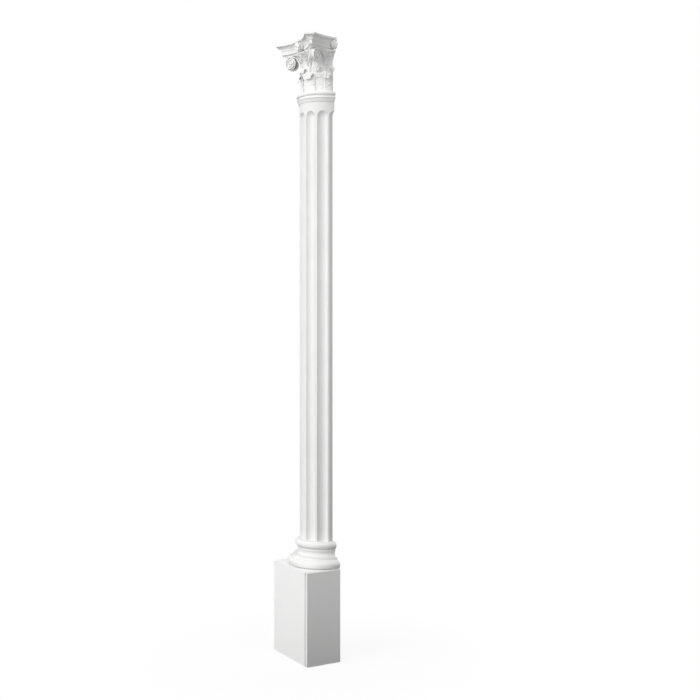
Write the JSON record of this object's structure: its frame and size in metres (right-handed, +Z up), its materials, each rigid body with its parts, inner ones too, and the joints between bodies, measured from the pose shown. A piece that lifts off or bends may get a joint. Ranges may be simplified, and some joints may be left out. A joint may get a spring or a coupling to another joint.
{
  "type": "wall half-column on a pedestal block",
  "caption": "White fluted half-round column for a wall, with a moulded half base on a boarded pedestal block and a leafy half capital with corner scrolls",
  "frame": {"origin": "on the floor, at the middle of the footprint", "axes": "+Z up along the column, +X along the wall, -Y the front, +Y the wall side"},
  "size_m": [0.35, 0.175, 2.85],
  "materials": {
    "painted_board": "smooth white paint on board",
    "bare_batten": "bare sawn softwood",
    "white_moulding": "satin white moulded resin"
  },
  "bodies": {
    "pedestal": {"block_front_board": "painted_board", "block_left_board": "painted_board", "block_right_board": "painted_board", "block_top_board": "painted_board", "block_bottom_board": "painted_board", "block_front_left_batten": "bare_batten", "block_front_right_batten": "bare_batten", "block_back_left_batten": "bare_batten", "block_back_right_batten": "bare_batten", "base_moulding": "white_moulding"},
    "shaft": {"fluted_shaft": "white_moulding"},
    "capital": {"astragal_ring": "white_moulding", "capital_bell": "white_moulding", "abacus": "white_moulding", "low_leaf_left_side": "white_moulding", "low_leaf_left_front": "white_moulding", "low_leaf_right_front": "white_moulding", "low_leaf_right_side": "white_moulding", "high_leaf_left_wall": "white_moulding", "high_leaf_left_corner": "white_moulding", "high_leaf_front": "white_moulding", "high_leaf_right_corner": "white_moulding", "high_leaf_right_wall": "white_moulding", "stalk_left_side": "white_moulding", "stalk_left_front": "white_moulding", "stalk_right_front": "white_moulding", "stalk_right_side": "white_moulding", "helix_left_side": "white_moulding", "helix_left_front": "white_moulding", "helix_right_front": "white_moulding", "helix_right_side": "white_moulding", "corner_scroll_left": "white_moulding", "corner_scroll_right": "white_moulding", "flower_left": "white_moulding", "flower_front": "white_moulding", "flower_right": "white_moulding"}
  },
  "joints": [
    {"name": "shaft_lift", "type": "slide", "parent": "pedestal", "child": "shaft", "axis": [0, 0, 1], "range_m": [0, 0.045]},
    {"name": "capital_lift", "type": "slide", "parent": "shaft", "child": "capital", "axis": [0, 0, 1], "range_m": [0, 0.057]}
  ]
}
